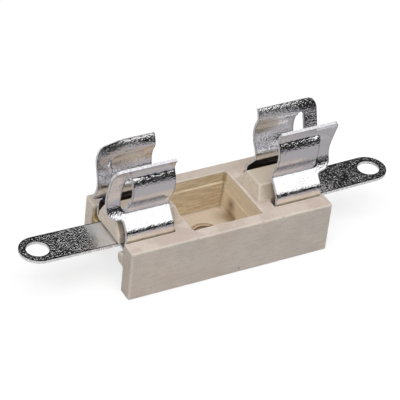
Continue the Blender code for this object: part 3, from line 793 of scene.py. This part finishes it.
def stop_point(distance, lip_in, middle_in):
    """Point of the end stop, which runs from the shoulder to its lip without the grip's bulge."""
    start = run_to("crease") - STOP_SETBACK
    end = run_to("lip") + LIP_RUN
    if distance <= start:
        return follow(distance)[0]
    first, first_heading = follow(start)
    last, last_heading = follow(end)
    last = last - Vector((lip_in, 0.0))
    leave = Vector((math.cos(first_heading), math.sin(first_heading))) * STOP_FOOT_PULL
    arrive = Vector((math.cos(last_heading), math.sin(last_heading))) * STOP_LIP_PULL
    t = (distance - start) / (end - start)
    point = (first * (2 * t ** 3 - 3 * t ** 2 + 1) + leave * (t ** 3 - 2 * t ** 2 + t)
             + last * (3 * t ** 2 - 2 * t ** 3) + arrive * (t ** 3 - t ** 2))
    point.x -= middle_in * math.sin(math.pi * t) ** 2
    return point


def round_corners(corners):
    """Points of an outline whose corners are (a, b, radius), rounded by arcs."""
    points = []
    count = len(corners)
    for index, (a, b, radius) in enumerate(corners):
        here = Vector((a, b))
        if radius <= 0.0:
            points.append(here)
            continue
        back = (Vector(corners[index - 1][:2]) - here).normalized()
        ahead = (Vector(corners[(index + 1) % count][:2]) - here).normalized()
        half_angle = back.angle(ahead) / 2
        centre = here + (back + ahead).normalized() * (radius / math.sin(half_angle))
        first = here + back * (radius / math.tan(half_angle)) - centre
        turn = math.pi - 2 * half_angle
        if first.cross(here - centre) < 0.0:
            turn = -turn
        steps = max(2, math.ceil(abs(turn) / CORNER_STEP))
        for step in range(steps + 1):
            points.append(centre + Matrix.Rotation(turn * step / steps, 2) @ first)
    return points


def blank_outline(lip_round):
    """Half of the flat blank as an outline of (x, distance along the leaf) points."""
    elbow = run_to("crease") - ELBOW_SETBACK
    top = run_to("lip") + LIP_RUN
    half_tab = TAB_WIDTH / 2
    corners = [(TAB_REACH, 0.0, 0.0),
               (TAB_REACH, half_tab, half_tab - MERGE_DISTANCE),
               (FOOT_END, half_tab, TAB_ROOT_ROUND),
               (FOOT_END, elbow, ELBOW_INNER_ROUND),
               (STOP_END, elbow, ELBOW_OUTER_ROUND),
               (STOP_END, top, lip_round),
               (CLIP_INNER_END, top, 0.0),
               (CLIP_INNER_END, 0.0, 0.0)]
    hole_x = TAB_REACH - TAB_HOLE_SETBACK
    notch = []
    for step in range(HOLE_SEGMENTS // 2 + 1):
        angle = math.pi * (1 - 2 * step / HOLE_SEGMENTS)
        notch.append(Vector((hole_x + math.cos(angle) * TAB_HOLE / 2,
                             abs(math.sin(angle)) * TAB_HOLE / 2)))
    notch[-1].y = 0.0
    return round_corners(corners) + notch


def window_outline(window_drop):
    """Window that parts the end stop from the gripping part of the leaf."""
    low = run_to("crease") + WINDOW_BELOW
    high = run_to("lip") - window_drop
    return round_corners([(GRIP_END, low, WINDOW_ROUND), (STOP_START, low, WINDOW_ROUND),
                          (STOP_START, high, WINDOW_ROUND), (GRIP_END, high, WINDOW_ROUND)])


def flat_blank(lip_round, window_drop):
    """Flat half of the sheet as a bmesh, filled between its outlines."""
    curve = bpy.data.curves.new("blank", "CURVE")
    curve.dimensions = "2D"
    curve.fill_mode = "BOTH"
    for outline in (blank_outline(lip_round), window_outline(window_drop)):
        spline = curve.splines.new("POLY")
        spline.points.add(len(outline) - 1)
        for point, place in zip(spline.points, outline):
            point.co = (place.x, place.y, 0.0, 1.0)
        spline.use_cyclic_u = True
    item = bpy.data.objects.new("blank", curve)
    bpy.context.scene.collection.objects.link(item)
    bpy.context.view_layer.update()
    mesh = bpy.data.meshes.new_from_object(item.evaluated_get(bpy.context.evaluated_depsgraph_get()))
    builder = bmesh.new()
    builder.from_mesh(mesh)
    bpy.data.objects.remove(item, do_unlink=True)
    bpy.data.curves.remove(curve)
    bpy.data.meshes.remove(mesh)
    bmesh.ops.remove_doubles(builder, verts=builder.verts, dist=MERGE_DISTANCE)
    inner = [edge for edge in builder.edges if len(edge.link_faces) == 2]
    bmesh.ops.dissolve_limit(builder, angle_limit=FLAT_ANGLE, use_dissolve_boundaries=False,
                             edges=inner, verts=[])
    return builder


def crease(builder, point, normal):
    """Cuts the flat sheet along a line so that it can bend there."""
    geometry = list(builder.verts) + list(builder.edges) + list(builder.faces)
    bmesh.ops.bisect_plane(builder, geom=geometry, dist=MERGE_DISTANCE, plane_co=point,
                           plane_no=normal)


def crease_rows():
    """Distances along the leaf at which the sheet is cut."""
    rows = []
    start = 0.0
    for _, length, _, turn in LEAF:
        steps = max(1, math.ceil(abs(turn) / ARC_STEP), math.ceil(length / ROW_STEP))
        rows += [start + length * step / steps for step in range(1, steps + 1)]
        start += length
    return rows[:-1]


def ease(value, start, end):
    """Smooth step from 0 at the start to 1 at the end."""
    share = min(1.0, max(0.0, (value - start) / (end - start)))
    return share * share * (3 - 2 * share)


def folded(x, distance, lip_in, middle_in):
    """Place of one point of the flat blank once the sheet is folded."""
    beside_window = ease(x, GRIP_END, STOP_START)
    in_lip = ease(x, LIP_TURNS, STOP_END)
    lip = ease(distance, run_to("neck") - NECK_EASE, run_to("lip"))
    share = beside_window + (in_lip - beside_window) * lip
    place = follow(distance)[0]
    if share > 0.0:
        place = place.lerp(stop_point(distance, lip_in, middle_in), share)
    past_neck = max(0.0, distance - run_to("lip"))
    place.x += LIP_CURL * past_neck ** 2 / (2 * LIP_RUN)
    rise = 0.0
    if distance < TAB_WIDTH / 2 + MERGE_DISTANCE:
        rise = max(0.0, x - TAB_START) * math.tan(math.radians(TAB_LIFT))
    return Vector((x, place.x, place.y + rise))


def rim_distance(point, lines):
    """Distance from a flat point to the nearest sheared edge."""
    nearest = math.inf
    for first, last in lines:
        along = last - first
        share = min(1.0, max(0.0, (point - first).dot(along) / along.length_squared))
        nearest = min(nearest, (point - first - along * share).length)
    return nearest


def sheared_lines(lip_round, window_drop):
    """Edges of the flat half blank, without the line along which the halves join."""
    lines = []
    for outline in (blank_outline(lip_round), window_outline(window_drop)):
        for index, point in enumerate(outline):
            before = outline[index - 1]
            joined = abs(point.y) < MERGE_DISTANCE and abs(before.y) < MERGE_DISTANCE
            if not joined and (point - before).length > MERGE_DISTANCE:
                lines.append((before, point))
    return lines


def half_sheet(leaf):
    """One leaf with half of the plate and tab, as a bmesh of the sheet's middle."""
    lip_in, middle_in, lip_round, window_drop = LEAVES[leaf]
    builder = flat_blank(lip_round, window_drop)
    for row in crease_rows():
        crease(builder, (0.0, row, 0.0), (0.0, 1.0, 0.0))
    count = round((TAB_REACH - CLIP_INNER_END) / COLUMN_STEP)
    for step in range(1, count):
        crease(builder, (CLIP_INNER_END + COLUMN_STEP * step, 0.0, 0.0), (1.0, 0.0, 0.0))
    to_rim = builder.verts.layers.float.new("to_rim")
    lines = sheared_lines(lip_round, window_drop)
    for vertex in builder.verts:
        vertex[to_rim] = rim_distance(Vector(vertex.co.xy), lines)
        vertex.co = folded(vertex.co.x, vertex.co.y, lip_in, middle_in)
        if abs(vertex.co.y) < MERGE_DISTANCE:
            vertex.co.y = 0.0
    return builder


def make_clip(side, end, materials):
    """One clip: two leaves that share the plate, with the thickness and burr of the sheet."""
    mesh = bpy.data.meshes.new("clip_sheet_" + end)
    whole = bmesh.new()
    for leaf_side, word in ((-1, "front"), (1, "back")):
        half = half_sheet(f"{word}_{end}")
        bmesh.ops.scale(half, vec=(side, leaf_side, 1.0), verts=half.verts)
        part = bpy.data.meshes.new("half")
        half.to_mesh(part)
        half.free()
        whole.from_mesh(part)
        bpy.data.meshes.remove(part)
    bmesh.ops.remove_doubles(whole, verts=whole.verts, dist=MERGE_DISTANCE)
    bmesh.ops.recalc_face_normals(whole, faces=whole.faces)
    whole.to_mesh(mesh)
    whole.free()
    mesh.shade_smooth()
    clip = bpy.data.objects.new("clip_sheet_" + end, mesh)
    bpy.context.scene.collection.objects.link(clip)
    for material in materials:
        mesh.materials.append(material)
    sheet = clip.modifiers.new("Sheet", "SOLIDIFY")
    sheet.thickness = SHEET
    sheet.offset = 0.0
    sheet.use_even_offset = True
    sheet.material_offset_rim = 1
    burr = clip.modifiers.new("Burr", "BEVEL")
    burr.width = BURR_ROUND
    burr.segments = BURR_SEGMENTS
    burr.limit_method = "ANGLE"
    burr.angle_limit = BURR_ANGLE
    burr.harden_normals = True
    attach(clip, "root")
    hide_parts("fuse_clip_" + end)


def snug(point):
    """A point of the ceramic moved so that the slot's outer wall stands close to the leaf."""
    beside_leaf = SLOT_START < abs(point.x) < SLOT_STOP and point.z > SLOT_LOW
    gap = abs(abs(point.y) - SLOT_WALL) / SLOT_BLEND
    if not beside_leaf or gap >= 1.0:
        return point
    return Vector((point.x, point.y - math.copysign(SLOT_CLOSED * (1 - gap), point.y), point.z))


def profile(levels, height):
    """Value at a height in a list of (height, value), from the highest down."""
    for (high, above), (low, below) in zip(levels, levels[1:]):
        if height >= low:
            share = min(1.0, (high - height) / (high - low))
            return above + (below - above) * share
    return levels[-1][1]


def drafted(point):
    """A point of the recess's walls moved so that they slope and their steps are narrow."""
    along, across = abs(point.x), abs(point.y)
    in_recess = along < RECESS_HALF_LENGTH and across < RECESS_HALF_WIDTH
    if not in_recess or not RECESS_DEEP < point.z < RECESS_HIGH:
        return point
    end_wall, side_wall = profile(END_WALL, point.z), profile(SIDE_WALL, point.z)
    if along > WALL_FROM:
        corner = ease(across, CORNER_FROM, CORNER_TO)
        along = (end_wall * (1 - corner)
                 + (abs(point.x) + end_wall - profile(CAD_END_WALL, point.z)) * corner)
    if across > WALL_FROM:
        corner = ease(abs(point.x), CORNER_FROM, CORNER_TO)
        across = (side_wall * (1 - corner)
                  + (abs(point.y) + side_wall - profile(CAD_SIDE_WALL, point.z)) * corner)
    return Vector((math.copysign(along, point.x), math.copysign(across, point.y), point.z))


def wear_depth(point):
    """How far a point of the ceramic lies in, because the surface is uneven or chipped."""
    inward = UNEVEN_DEPTH * (1 + noise.noise(point / UNEVEN_LENGTH)) / 2
    for centre, radius, depth in CHIPS:
        gap = (point - centre).length / radius
        if gap < 1.0:
            ragged = CHIP_MEAN + CHIP_SWING * noise.noise(point / CHIP_GRAIN)
            inward += depth * ragged * (1 - gap * gap)
    return inward


def make_ceramic(material):
    """Ceramic body with softened, slightly uneven and chipped edges."""
    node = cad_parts["ceramic_base"]
    body = bpy.data.objects.new("ceramic_body", node.data.copy())
    bpy.context.scene.collection.objects.link(body)
    remesh = body.modifiers.new("Fine", "REMESH")
    remesh.mode = "VOXEL"
    remesh.voxel_size = VOXEL
    soften = body.modifiers.new("Soften", "SMOOTH")
    soften.factor = SOFTENING
    soften.iterations = 1
    bpy.context.view_layer.update()
    fine = bpy.data.meshes.new_from_object(body.evaluated_get(bpy.context.evaluated_depsgraph_get()))
    body.modifiers.clear()
    body.data = fine
    normals = [vertex.normal.copy() for vertex in fine.vertices]
    low, high = (Vector(corner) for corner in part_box("ceramic_base"))
    for vertex, normal in zip(fine.vertices, normals):
        moved = snug(drafted(vertex.co) - normal * wear_depth(vertex.co))
        vertex.co = [min(max(value, least), most) for value, least, most in zip(moved, low, high)]
    fine.materials.clear()
    fine.materials.append(material)
    fine.shade_smooth()
    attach(body, "root")
    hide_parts("ceramic_base")


make_camera()
make_world()
make_floor()
make_lamp()
make_ceramic(ceramic_material())
plating = (plated_material(), edge_material())
make_clip(-1, "left", plating)
make_clip(1, "right", plating)
